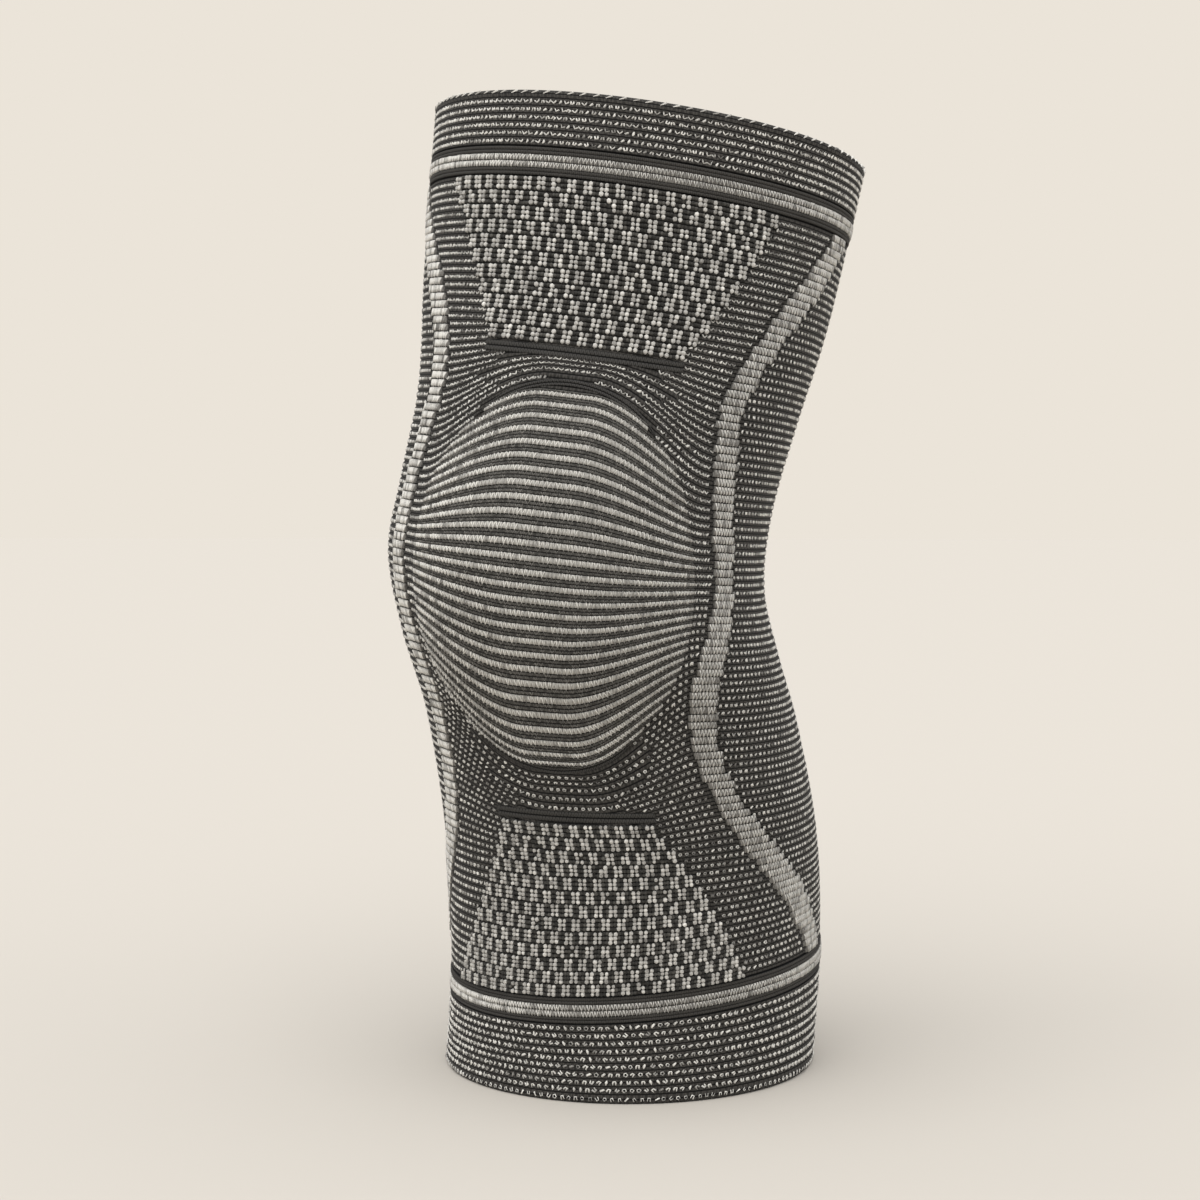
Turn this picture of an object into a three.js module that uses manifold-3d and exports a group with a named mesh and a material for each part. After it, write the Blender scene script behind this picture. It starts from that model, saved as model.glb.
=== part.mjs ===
// Knitted knee sleeve: a bent tube of elastic knit that stands on its calf opening.
// Millimetres and degrees. +Z is up, the front of the knee faces -Y, and +X is to the right of the front.
// Every place on the sleeve is an angle round it from the knit's front line, a share of its height, and a
// distance out from its surface.
import * as THREE from 'three';
import Module from 'manifold-3d';

// Overall form
const sleeveHeight = 287; // along the middle of the tube, from rim to rim
const calfWidth = 115;
const calfDepth = 117;
const kneeWidth = 111;
const kneeDepth = 118;
const thighWidth = 136;
const thighDepth = 133;
const kneeBow = 36; // how far the knee stands in front of the calf opening
const thighLean = 14.5; // how far the thigh opening sits behind the calf opening
const kneeSway = 4; // how far the knee stands to the left of the calf opening
const rimTiltBack = 4; // thigh opening, falling to the back
const rimTiltSide = 8; // thigh opening, falling to the right
const knitTurn = 12; // the knit's front line, turned to the right of the knee's bow

// Walls and joints between knitted zones
const bodyWall = 2.6;
const cuffWall = 3;
const bandWall = 2.9;
const panelWall = 2.9;
const weltWall = 2.9;
const kneecapWall = 3.4;
const cuffLift = 0.2; // how far each zone stands proud of the body
const bandLift = 0.2;
const panelLift = 0.3;
const stripeLift = 0.3;
const weltLift = 0.2;
const kneecapLift = 0.4;
const zoneGap = 0.3; // between neighbouring zones

// Cuffs and bands
const calfCuffHeight = 26.5;
const thighCuffHeight = 16.5;
const bandHeight = 8.2;
const rimRound = 0.9;
const bandRelief = 0.5; // cords of a band above its grooves

// Thigh panel, a fabric patch that narrows down to the knee, and the welt that closes it
const thighPanelHeight = 46.5;
const thighPanelTop = 110;
const thighPanelBase = 55;
const thighWeltWidth = 60;
const weltHeight = 3.2;
const weltRelief = 0.5;

// Shin panel, a patch that widens down to the calf band, and the welt above it
const shinPanelHeight = 49.5;
const shinPanelTop = 46;
const shinPanelBase = 102;
const shinWeltWidth = 49;

// Kneecap panel: an oval dome of horizontal ribs
const kneecapHeight = 103;
const kneecapWidth = 84;
const kneecapCentre = 152.5; // above the calf rim, along the tube
const upperWeltReach = 38; // degrees either side of the oval's top that the upper welt follows
const lowerWeltReach = 32; // the same for the welt round the oval's foot
const domeRise = 6;
const domeSpread = 1.25; // the dome's foot, as a share of the panel's own size
const coursePitch = 2.28; // from rib to rib where the knit isn't spread
const ribRelief = 0.9;
const kneecapSpread = 18; // how far the dome pushes the knit's courses apart, up and down
const spreadFlat = 6; // degrees from the front line where the push starts to fade
const spreadReach = 48; // and where it ends

// Side stripes
const stripeWidth = 8.6;
const stripeReach = 80; // degrees from the front line to the stripes where they meet the bands

// Fineness of the facets
const roundFacets = 42;
const bodyRows = 20;
const frontColumns = 14;
const backColumns = 25;
const ovalSteps = 36;
const ovalRings = 4;
const panelColumns = 8;
const kneecapColumns = 8;
const weltRows = 4;
const panelRows = 6;
const stripeColumns = 2;
const cutterReach = 5; // how far a cutter passes both faces of the wall
const ribMargin = 3; // how far the ribs pass the oval before they are cut to it
const slopeStep = 1.5; // height over which a stripe's slope is taken

// Cross sections from the calf rim up. at is a share of sleeveHeight; bow, lean and sway are shares of
// kneeBow, thighLean and kneeSway; calf and thigh say how much of the calf's or thigh's width and depth
// the section has beside the knee's; back and side are shares of the rim's tilts; turn is a share of
// knitTurn.
const sections = [
  { at: 0.0, bow: 0.0, lean: 0.0, sway: 0.0, calf: 0.7, thigh: 0.0, back: 0.0, side: 0.0, turn: 0.3 },
  { at: 0.12, bow: 0.0, lean: 0.0, sway: -0.5, calf: 0.95, thigh: 0.0, back: -1.1, side: -0.4, turn: 0.35 },
  { at: 0.25, bow: 0.13, lean: 0.0, sway: -0.55, calf: 0.8, thigh: 0.0, back: -0.8, side: 0.0, turn: 0.5 },
  { at: 0.38, bow: 0.47, lean: 0.0, sway: -0.1, calf: 0.25, thigh: 0.0, back: -0.4, side: 0.35, turn: 0.3 },
  { at: 0.46, bow: 0.8, lean: 0.0, sway: 0.5, calf: 0.3, thigh: 0.0, back: -0.2, side: 0.6, turn: 0.65 },
  { at: 0.535, bow: 0.95, lean: 0.0, sway: 1.05, calf: 0.1, thigh: 0.0, back: 0.0, side: 0.82, turn: 1.1 },
  { at: 0.61, bow: 0.89, lean: 0.1, sway: 0.6, calf: -0.3, thigh: 0.0, back: 0.15, side: 0.85, turn: 1.0 },
  { at: 0.7, bow: 0.67, lean: 0.3, sway: 0.05, calf: 0.0, thigh: 0.1, back: 0.3, side: 0.9, turn: 0.9 },
  { at: 0.82, bow: 0.32, lean: 0.62, sway: 0.1, calf: 0.0, thigh: 0.575, back: 0.5, side: 0.95, turn: 1.08 },
  { at: 1.0, bow: 0.0, lean: 1.0, sway: -0.35, calf: 0.0, thigh: 1.0, back: 0.8, side: 1.0, turn: 0.75 },
];

// How far the dome pushes a course up or down on the front line. at is the course's height at the side of
// the sleeve, as a share of sleeveHeight; push is a share of kneecapSpread.
const courseSpread = [
  { at: 0.25, push: 0.0 },
  { at: 0.305, push: -0.3 },
  { at: 0.375, push: -0.75 },
  { at: 0.435, push: -1.2 },
  { at: 0.49, push: -0.55 },
  { at: 0.545, push: 0.0 },
  { at: 0.6, push: 0.6 },
  { at: 0.655, push: 0.95 },
  { at: 0.72, push: 0.36 },
  { at: 0.775, push: 0.0 },
];

// Middle line of a side stripe. at is a share of sleeveHeight; away is a share of stripeReach.
const stripeRoute = [
  { at: 0.12, away: 1.07 },
  { at: 0.2, away: 0.87 },
  { at: 0.25, away: 0.73 },
  { at: 0.3, away: 0.62 },
  { at: 0.35, away: 0.575 },
  { at: 0.42, away: 0.585 },
  { at: 0.5, away: 0.69 },
  { at: 0.56, away: 0.71 },
  { at: 0.65, away: 0.65 },
  { at: 0.72, away: 0.605 },
  { at: 0.79, away: 0.68 },
  { at: 0.85, away: 0.82 },
  { at: 0.92, away: 1.01 },
];

// Heights where the zones meet, worked out from the sizes above
const calfBandFoot = calfCuffHeight;
const calfBandTop = calfBandFoot + bandHeight;
const thighBandTop = sleeveHeight - thighCuffHeight;
const thighBandFoot = thighBandTop - bandHeight;
const thighPanelFoot = thighBandFoot - zoneGap - thighPanelHeight;
const thighWeltFoot = thighPanelFoot - zoneGap - weltHeight;
const shinPanelFoot = calfBandTop + zoneGap;
const shinPanelHead = shinPanelFoot + shinPanelHeight;
const shinWeltFoot = shinPanelHead + zoneGap;

const library = await Module();
library.setup();

const radians = THREE.MathUtils.degToRad;
const degrees = THREE.MathUtils.radToDeg;

// Value of one column of a table at a share of the height, on a smooth curve through its rows
function along(table, column, at) {
  const last = table.length - 1;
  let low = 0;
  while (low < last - 1 && at > table[low + 1].at) low += 1;
  const slope = (row) => {
    const before = table[Math.max(row - 1, 0)];
    const after = table[Math.min(row + 1, last)];
    return (after[column] - before[column]) / (after.at - before.at);
  };
  const start = table[low];
  const end = table[low + 1];
  const span = end.at - start.at;
  const t = THREE.MathUtils.clamp((at - start.at) / span, 0, 1);
  const rise = end[column] - start[column];
  const lead = slope(low) * span;
  const tail = slope(low + 1) * span;
  return start[column] + lead * t + (3 * rise - 2 * lead - tail) * t * t
    + (lead + tail - 2 * rise) * t * t * t;
}

// Width, depth, place and tilt of the cross section at a height
function sectionAt(at) {
  const column = (name) => along(sections, name, at);
  const calfShare = column('calf');
  const thighShare = column('thigh');
  const blend = (knee, calf, thigh) => knee + (calf - knee) * calfShare + (thigh - knee) * thighShare;
  return {
    width: blend(kneeWidth, calfWidth, thighWidth),
    depth: blend(kneeDepth, calfDepth, thighDepth),
    x: -kneeSway * column('sway'),
    y: thighLean * column('lean') - kneeBow * column('bow'),
    back: radians(rimTiltBack * column('back')),
    side: radians(rimTiltSide * column('side')),
    turn: knitTurn * column('turn'),
  };
}

// Angle round the sleeve that a length along its surface takes at a height
function angleOf(length, at) {
  const section = sectionAt(at);
  return degrees(length / ((section.width + section.depth) / 4));
}

// Share of the dome's rise at a place on the sleeve
function domeAt(angle, at) {
  const across = angle / angleOf(kneecapWidth * domeSpread / 2, at);
  const up = (at * sleeveHeight - kneecapCentre) / (kneecapHeight * domeSpread / 2);
  const away = across * across + up * up;
  return away < 1 ? (1 - away) ** 2 * (1 + 2 * away) : 0;
}

// Point on the sleeve: angle from the front line, share of the height, distance out from the surface
function sleevePoint(angle, at, out) {
  const section = sectionAt(at);
  const around = radians(angle + section.turn);
  const lift = out + domeRise * domeAt(angle, at);
  const across = (section.width / 2 + lift) * Math.sin(around);
  const forward = (section.depth / 2 + lift) * Math.cos(around);
  const rise = forward * Math.sin(section.back) * Math.cos(section.side);
  return new THREE.Vector3(
    section.x + across * Math.cos(section.side),
    section.y - forward * Math.cos(section.back),
    sleeveHeight * at + rise - across * Math.sin(section.side),
  );
}

// Share of the height where a knitted course passes at an angle
function courseAt(angle, course) {
  const fade = THREE.MathUtils.smoothstep(Math.abs(angle), spreadFlat, spreadReach);
  return course + kneecapSpread / sleeveHeight * along(courseSpread, 'push', course) * (1 - fade);
}

// The course that crosses the front line at a height
function courseThrough(at) {
  let low = 0;
  let high = 1;
  for (let halving = 0; halving < 20; halving += 1) {
    const middle = (low + high) / 2;
    if (courseAt(0, middle) < at) low = middle;
    else high = middle;
  }
  return low;
}

// Closed geometry from points and triangles, with its faces turned outwards
function closedGeometry(points, triangles) {
  let volume = 0;
  for (const [a, b, c] of triangles) {
    volume += points[a].dot(new THREE.Vector3().crossVectors(points[b], points[c]));
  }
  const turned = volume > 0 ? triangles : triangles.map(([a, b, c]) => [a, c, b]);
  const geometry = new THREE.BufferGeometry();
  const coordinates = points.flatMap((point) => point.toArray());
  geometry.setAttribute('position', new THREE.Float32BufferAttribute(coordinates, 3));
  geometry.setIndex(turned.flat());
  return geometry;
}

function toSolid(geometry) {
  return new library.Manifold(new library.Mesh({
    numProp: 3,
    vertProperties: new Float32Array(geometry.attributes.position.array),
    triVerts: new Uint32Array(geometry.index.array),
  }));
}

function toGeometry(solid) {
  const { vertProperties, triVerts } = solid.getMesh();
  const geometry = new THREE.BufferGeometry();
  geometry.setAttribute('position', new THREE.Float32BufferAttribute(vertProperties, 3));
  geometry.setIndex([...triVerts]);
  return geometry;
}

// A ring round the whole sleeve: its profile is a closed list of [height in mm, distance out]
function ring(profile) {
  const points = [];
  const triangles = [];
  const size = profile.length;
  for (let facet = 0; facet < roundFacets; facet += 1) {
    for (const [height, out] of profile) {
      points.push(sleevePoint(360 * facet / roundFacets, height / sleeveHeight, out));
    }
  }
  for (let facet = 0; facet < roundFacets; facet += 1) {
    const here = facet * size;
    const there = ((facet + 1) % roundFacets) * size;
    for (let step = 0; step < size; step += 1) {
      const next = (step + 1) % size;
      triangles.push([here + step, there + step, there + next], [here + step, there + next, here + next]);
    }
  }
  return closedGeometry(points, triangles);
}

// A patch of wall. place(across, up) gives [angle, share of the height] for across and up from 0 to 1;
// outer(across, up) and inner give how far out its two faces lie.
function patch(columns, rows, place, outer, inner) {
  const points = [];
  const triangles = [];
  for (const face of [outer, inner]) {
    for (let row = 0; row <= rows; row += 1) {
      for (let column = 0; column <= columns; column += 1) {
        const [angle, at] = place(column / columns, row / rows);
        points.push(sleevePoint(angle, at, face(column / columns, row / rows)));
      }
    }
  }
  const half = points.length / 2;
  const index = (column, row) => row * (columns + 1) + column;
  for (let row = 0; row < rows; row += 1) {
    for (let column = 0; column < columns; column += 1) {
      const [a, b] = [index(column, row), index(column + 1, row)];
      const [c, d] = [index(column + 1, row + 1), index(column, row + 1)];
      triangles.push([a, b, c], [a, c, d]);
      triangles.push([half + a, half + c, half + b], [half + a, half + d, half + c]);
    }
  }
  const edge = [];
  for (let column = 0; column < columns; column += 1) edge.push(index(column, 0));
  for (let row = 0; row < rows; row += 1) edge.push(index(columns, row));
  for (let column = columns; column > 0; column -= 1) edge.push(index(column, rows));
  for (let row = rows; row > 0; row -= 1) edge.push(index(0, row));
  edge.forEach((a, step) => {
    const b = edge[(step + 1) % edge.length];
    triangles.push([a, half + a, half + b], [a, half + b, b]);
  });
  return closedGeometry(points, triangles);
}

// The two faces of a zone, and those of the cutter that makes its place in the body
const level = () => 0;
const faces = (lift, wall, relief = level) => [(across, up) => lift - relief(across, up), () => lift - wall];
const cutterFaces = [() => cutterReach, () => -bodyWall - cutterReach];

// Grooves between a number of cords laid one above the other: 0 on a crest, depth in a groove
const cords = (count, depth) => (across, up) => (Math.round(up * count * 2) % 2 ? 0 : depth);

// A four-sided zone between two heights, with its own width at its foot and head; grow widens it all round
function panelPlace(foot, head, footWidth, headWidth, grow = 0) {
  const slant = Math.hypot(1, (headWidth - footWidth) / 2 / (head - foot));
  return (across, up) => {
    const height = foot - grow + (head - foot + 2 * grow) * up;
    const share = (height - foot) / (head - foot);
    const half = THREE.MathUtils.lerp(footWidth, headWidth, share) / 2 + grow * slant;
    const course = height / sleeveHeight;
    const angle = angleOf(half, course) * (2 * across - 1);
    return [angle, courseAt(angle, course)];
  };
}

// Angle from the front line to a side stripe's edge, on its outer side (1) or its front side (-1)
function stripeEdge(at, edge, grow = 0) {
  const middle = (height) => stripeReach * along(stripeRoute, 'away', height);
  const step = slopeStep / sleeveHeight;
  const run = (middle(at + step) - middle(at - step)) / angleOf(1, at);
  const slant = Math.hypot(1, run / (2 * slopeStep));
  return middle(at) + edge * angleOf((stripeWidth / 2 + grow) * slant, at);
}

// A zone that runs from band to band between two edges, each an angle for a share of the height
function bandToBand(left, right) {
  const foot = calfBandTop + zoneGap;
  const head = thighBandFoot - zoneGap;
  return (across, up) => {
    const at = THREE.MathUtils.lerp(foot, head, up) / sleeveHeight;
    return [THREE.MathUtils.lerp(left(at), right(at), across), at];
  };
}

const rightStripe = bandToBand((at) => stripeEdge(at, -1), (at) => stripeEdge(at, 1));
const leftStripe = bandToBand((at) => -stripeEdge(at, 1), (at) => -stripeEdge(at, -1));
const frontKnit = bandToBand((at) => -stripeEdge(at, -1, zoneGap), (at) => stripeEdge(at, -1, zoneGap));
const backKnit = bandToBand((at) => stripeEdge(at, 1, zoneGap), (at) => 360 - stripeEdge(at, 1, zoneGap));

// A point of the kneecap's oval, at an angle from its top and a distance out from its edge
function ovalPlace(clock, beyond) {
  const at = (kneecapCentre + (kneecapHeight / 2 + beyond) * Math.cos(clock)) / sleeveHeight;
  return [angleOf((kneecapWidth / 2 + beyond) * Math.sin(clock), at), at];
}

// The welt that follows the top or the foot of the oval; grow takes it well into the oval's own cut
function ovalWeltPlace(middle, reach, grow = 0) {
  const inner = zoneGap - 3 * grow;
  const outer = zoneGap + weltHeight + grow;
  const spread = radians(reach) + grow / (kneecapWidth / 2);
  return (across, up) => {
    const clock = radians(middle) + spread * (2 * across - 1);
    return ovalPlace(clock, THREE.MathUtils.lerp(inner, outer, up));
  };
}

// A prism through the wall with the kneecap's oval outline
function ovalPrism(grow) {
  const points = [];
  const triangles = [];
  const size = ovalRings * ovalSteps + 1;
  cutterFaces.forEach((face, side) => {
    const centreAt = kneecapCentre / sleeveHeight;
    points.push(sleevePoint(0, centreAt, face()));
    for (let band = 1; band <= ovalRings; band += 1) {
      for (let step = 0; step < ovalSteps; step += 1) {
        const share = band / ovalRings;
        const clock = 2 * Math.PI * step / ovalSteps;
        const [angle, at] = ovalPlace(clock, grow);
        points.push(sleevePoint(angle * share, THREE.MathUtils.lerp(centreAt, at, share), face()));
      }
    }
    const start = side * size;
    const index = (band, step) => start + 1 + (band - 1) * ovalSteps + (step % ovalSteps);
    for (let step = 0; step < ovalSteps; step += 1) {
      const fan = [start, index(1, step), index(1, step + 1)];
      triangles.push(side ? fan : fan.toReversed());
      for (let band = 1; band < ovalRings; band += 1) {
        const [a, b] = [index(band, step), index(band, step + 1)];
        const [c, d] = [index(band + 1, step + 1), index(band + 1, step)];
        const pair = [[a, d, c], [a, c, b]];
        triangles.push(...(side ? pair : pair.map((triangle) => triangle.toReversed())));
      }
    }
  });
  const rim = (step) => 1 + (ovalRings - 1) * ovalSteps + (step % ovalSteps);
  for (let step = 0; step < ovalSteps; step += 1) {
    const [a, b] = [rim(step), rim(step + 1)];
    triangles.push([a, b, size + b], [a, size + b, size + a]);
  }
  return closedGeometry(points, triangles);
}

// Cuffs: rings with a rounded rim and a flat face at the very edge
function calfCuff() {
  const top = calfCuffHeight - zoneGap;
  const inner = cuffLift - cuffWall;
  return ring([
    [0, cuffLift - rimRound], [rimRound, cuffLift], [top / 2, cuffLift], [top, cuffLift],
    [top, inner], [top / 2, inner], [rimRound / 2, inner], [0, inner + rimRound / 2],
  ]);
}

function thighCuff() {
  const foot = thighBandTop + zoneGap;
  const middle = (foot + sleeveHeight) / 2;
  const inner = cuffLift - cuffWall;
  return ring([
    [foot, cuffLift], [middle, cuffLift], [sleeveHeight - rimRound, cuffLift],
    [sleeveHeight, cuffLift - rimRound], [sleeveHeight, inner + rimRound / 2],
    [sleeveHeight - rimRound / 2, inner], [middle, inner], [foot, inner],
  ]);
}

// A band of four cords: a pair of light courses between two dark ones
function band(foot) {
  const cordCount = 4;
  const outside = [];
  for (let step = 0; step <= cordCount * 2; step += 1) {
    const up = step / (cordCount * 2);
    outside.push([foot + bandHeight * up, bandLift - cords(cordCount, bandRelief)(0, up)]);
  }
  return ring([...outside, [foot + bandHeight, bandLift - bandWall], [foot, bandLift - bandWall]]);
}

// The front of the sleeve, with a place cut for each zone that is let into it
function frontBody(cutters) {
  const front = toSolid(patch(frontColumns, bodyRows, frontKnit, ...faces(0, bodyWall)));
  return toGeometry(cutters.reduce((body, cutter) => body.subtract(toSolid(cutter)), front));
}

// The kneecap panel: ribs that follow the courses, inside the oval
function kneecapPanel() {
  const reach = kneecapHeight / 2 + ribMargin;
  const lowest = courseThrough((kneecapCentre - reach) / sleeveHeight);
  const highest = courseThrough((kneecapCentre + reach) / sleeveHeight);
  const ribs = Math.round((highest - lowest) * sleeveHeight / coursePitch);
  const place = (across, up) => {
    const course = THREE.MathUtils.lerp(lowest, highest, up);
    const angle = angleOf(kneecapWidth / 2 + ribMargin, course) * (2 * across - 1);
    return [angle, courseAt(angle, course)];
  };
  const ribFaces = faces(kneecapLift, kneecapWall, cords(ribs, ribRelief));
  const ribbed = patch(kneecapColumns, ribs * 2, place, ...ribFaces);
  return toGeometry(toSolid(ribbed).intersect(toSolid(ovalPrism(0))));
}

// Each zone that is let into the front: where it lies, its rows, its faces and its colour
const light = '#a9a49b';
const dark = '#3d3c39';
const mixed = '#5e5c57';
const thighPanelHead = thighPanelFoot + thighPanelHeight;
const panelFaces = faces(panelLift, panelWall);
const weltFaces = faces(weltLift, weltWall, cords(2, weltRelief));
const thighPanel = (grow) => panelPlace(thighPanelFoot, thighPanelHead, thighPanelBase, thighPanelTop, grow);
const shinPanel = (grow) => panelPlace(shinPanelFoot, shinPanelHead, shinPanelBase, shinPanelTop, grow);
const straightWelt = (foot, width) => (grow) => panelPlace(foot, foot + weltHeight, width, width, grow);
const roundWelt = (middle, reach) => (grow) => ovalWeltPlace(middle, reach, grow);
const zones = [
  { name: 'thigh_panel', place: thighPanel, rows: panelRows, sides: panelFaces, colour: light },
  { name: 'shin_panel', place: shinPanel, rows: panelRows, sides: panelFaces, colour: light },
  { name: 'thigh_welt', place: straightWelt(thighWeltFoot, thighWeltWidth), rows: weltRows, sides: weltFaces,
    colour: dark },
  { name: 'shin_welt', place: straightWelt(shinWeltFoot, shinWeltWidth), rows: weltRows, sides: weltFaces,
    colour: dark },
  { name: 'kneecap_upper_welt', place: roundWelt(0, upperWeltReach), rows: weltRows, sides: weltFaces,
    colour: dark },
  { name: 'kneecap_lower_welt', place: roundWelt(180, lowerWeltReach), rows: weltRows, sides: weltFaces,
    colour: dark },
];

function material(colour) {
  return new THREE.MeshStandardMaterial({ color: colour, roughness: 0.95, metalness: 0 });
}

function piece(name, geometry, colour) {
  const mesh = new THREE.Mesh(geometry, material(colour));
  mesh.name = name;
  return mesh;
}

const sleeve = new THREE.Group();
const cutters = [ovalPrism(zoneGap)];
for (const { name, place, rows, sides, colour } of zones) {
  sleeve.add(piece(name, patch(panelColumns, rows, place(0), ...sides), colour));
  cutters.push(patch(panelColumns, rows, place(zoneGap), ...cutterFaces));
}
const stripeFaces = faces(stripeLift, panelWall);
sleeve.add(piece('front_knit', frontBody(cutters), mixed));
sleeve.add(piece('back_knit', patch(backColumns, bodyRows, backKnit, ...faces(0, bodyWall)), mixed));
sleeve.add(piece('right_stripe', patch(stripeColumns, bodyRows, rightStripe, ...stripeFaces), light));
sleeve.add(piece('left_stripe', patch(stripeColumns, bodyRows, leftStripe, ...stripeFaces), light));
sleeve.add(piece('kneecap_panel', kneecapPanel(), light));
sleeve.add(piece('calf_cuff', calfCuff(), mixed));
sleeve.add(piece('calf_band', band(calfBandFoot), light));
sleeve.add(piece('thigh_band', band(thighBandFoot), light));
sleeve.add(piece('thigh_cuff', thighCuff(), mixed));

// The origin is on the floor under the middle of the sleeve's box
const box = new THREE.Box3().setFromObject(sleeve);
const centre = box.getCenter(new THREE.Vector3());
for (const mesh of sleeve.children) mesh.position.set(-centre.x, -centre.y, 0);

export default sleeve;
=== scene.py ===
import math
import bpy
import numpy as np
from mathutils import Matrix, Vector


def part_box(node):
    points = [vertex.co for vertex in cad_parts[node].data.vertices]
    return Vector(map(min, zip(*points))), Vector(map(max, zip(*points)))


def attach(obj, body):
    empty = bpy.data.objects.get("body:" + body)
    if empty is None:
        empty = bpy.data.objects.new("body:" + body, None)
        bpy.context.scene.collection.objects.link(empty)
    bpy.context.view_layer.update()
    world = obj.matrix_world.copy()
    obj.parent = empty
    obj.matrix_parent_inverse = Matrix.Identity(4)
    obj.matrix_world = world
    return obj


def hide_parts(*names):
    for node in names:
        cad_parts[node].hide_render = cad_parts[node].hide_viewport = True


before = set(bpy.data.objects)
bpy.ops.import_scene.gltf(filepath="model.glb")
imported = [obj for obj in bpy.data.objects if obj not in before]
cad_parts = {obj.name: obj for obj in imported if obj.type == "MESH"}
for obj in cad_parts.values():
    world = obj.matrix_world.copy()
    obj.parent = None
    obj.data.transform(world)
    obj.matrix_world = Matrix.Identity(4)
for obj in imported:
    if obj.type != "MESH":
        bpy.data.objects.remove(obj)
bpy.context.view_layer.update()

print("frame loaded:", len(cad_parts), "nodes")

# The sleeve's form, in mm and degrees, as in the part's own source
sleeve = {
    "height": 287, "calfWidth": 115, "calfDepth": 117, "kneeWidth": 111, "kneeDepth": 118,
    "thighWidth": 136, "thighDepth": 133, "kneeBow": 36, "thighLean": 14.5, "kneeSway": 4,
    "rimTiltBack": 4, "rimTiltSide": 8, "knitTurn": 12, "domeRise": 6, "domeSpread": 1.25,
    "kneecapHeight": 103, "kneecapWidth": 84, "kneecapCentre": 152.5,
    "spread": 18, "spreadFlat": 6, "spreadReach": 48,  # how the dome pushes the courses apart
    "courses": 100, "firstCourse": 35, "lastCourse": 262,  # rows of loops from band to band
    "wales": 176, "waleWidth": 2.1,  # loops round the sleeve, and mm from one to the next
    "stripeWidth": 8.6, "stripeReach": 80,
    "slopeStep": 1.5, "slantRun": 2.2,  # height over which a stripe's slope is taken, and what it widens by
    "cuffCorners": 42, "cuffRings": [0.9, 13.1, 26.2], "cuffLift": 0.2,  # the calf cuff's outer corners in the source
}

# height share, then shares of bow, lean, sway, calf, thigh, tilt back, tilt side, turn
sections = np.array([
    (0.0, 0.0, 0.0, 0.0, 0.7, 0.0, 0.0, 0.0, 0.3),
    (0.12, 0.0, 0.0, -0.5, 0.95, 0.0, -1.1, -0.4, 0.35),
    (0.25, 0.13, 0.0, -0.55, 0.8, 0.0, -0.8, 0.0, 0.5),
    (0.38, 0.47, 0.0, -0.1, 0.25, 0.0, -0.4, 0.35, 0.3),
    (0.46, 0.8, 0.0, 0.5, 0.3, 0.0, -0.2, 0.6, 0.65),
    (0.535, 0.95, 0.0, 1.05, 0.1, 0.0, 0.0, 0.82, 1.1),
    (0.61, 0.89, 0.1, 0.6, -0.3, 0.0, 0.15, 0.85, 1.0),
    (0.7, 0.67, 0.3, 0.05, 0.0, 0.1, 0.3, 0.9, 0.9),
    (0.82, 0.32, 0.62, 0.1, 0.0, 0.575, 0.5, 0.95, 1.08),
    (1.0, 0.0, 1.0, -0.35, 0.0, 1.0, 0.8, 1.0, 0.75),
])
courseSpread = np.array([  # height share at the sides, push at the front
    (0.25, 0.0), (0.305, -0.3), (0.375, -0.75), (0.435, -1.2), (0.49, -0.55), (0.545, 0.0),
    (0.6, 0.6), (0.655, 0.95), (0.72, 0.36), (0.775, 0.0),
])
stripeRoute = np.array([  # height share, share of the stripe's reach
    (0.12, 1.07), (0.2, 0.87), (0.25, 0.73), (0.3, 0.62), (0.35, 0.575), (0.42, 0.585), (0.5, 0.69),
    (0.56, 0.71), (0.65, 0.65), (0.72, 0.605), (0.79, 0.68), (0.85, 0.82), (0.92, 1.01),
])


def smoothColumn(rows, column, at):
    x, y = rows[:, 0], rows[:, column]
    slope = np.gradient(y)
    slope[1:-1] = (y[2:] - y[:-2]) / (x[2:] - x[:-2])
    slope[0] = (y[1] - y[0]) / (x[1] - x[0])
    slope[-1] = (y[-1] - y[-2]) / (x[-1] - x[-2])
    at = np.asarray(at, float)
    low = np.clip(np.searchsorted(x, at) - 1, 0, len(x) - 2)
    span = x[low + 1] - x[low]
    t = np.clip((at - x[low]) / span, 0, 1)
    rise, lead, tail = y[low + 1] - y[low], slope[low] * span, slope[low + 1] * span
    return y[low] + lead * t + (3 * rise - 2 * lead - tail) * t**2 + (lead + tail - 2 * rise) * t**3


def sectionAt(at):
    s = sleeve
    bow, lean, sway, calf, thigh, back, side, turn = (smoothColumn(sections, i, at) for i in range(1, 9))
    return {
        "width": s["kneeWidth"] + (s["calfWidth"] - s["kneeWidth"]) * calf + (s["thighWidth"] - s["kneeWidth"]) * thigh,
        "depth": s["kneeDepth"] + (s["calfDepth"] - s["kneeDepth"]) * calf + (s["thighDepth"] - s["kneeDepth"]) * thigh,
        "x": -s["kneeSway"] * sway, "y": s["thighLean"] * lean - s["kneeBow"] * bow,
        "back": np.radians(s["rimTiltBack"] * back), "side": np.radians(s["rimTiltSide"] * side),
        "turn": s["knitTurn"] * turn,
    }


def angleOf(length, at):
    section = sectionAt(at)
    return np.degrees(length / ((section["width"] + section["depth"]) / 4))


def domeAt(angle, at):
    s = sleeve
    across = angle / angleOf(s["kneecapWidth"] * s["domeSpread"] / 2, at)
    up = (at * s["height"] - s["kneecapCentre"]) / (s["kneecapHeight"] * s["domeSpread"] / 2)
    away = across**2 + up**2
    return np.where(away < 1, (1 - away) ** 2 * (1 + 2 * away), 0)


originShift = np.zeros(3)


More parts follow.
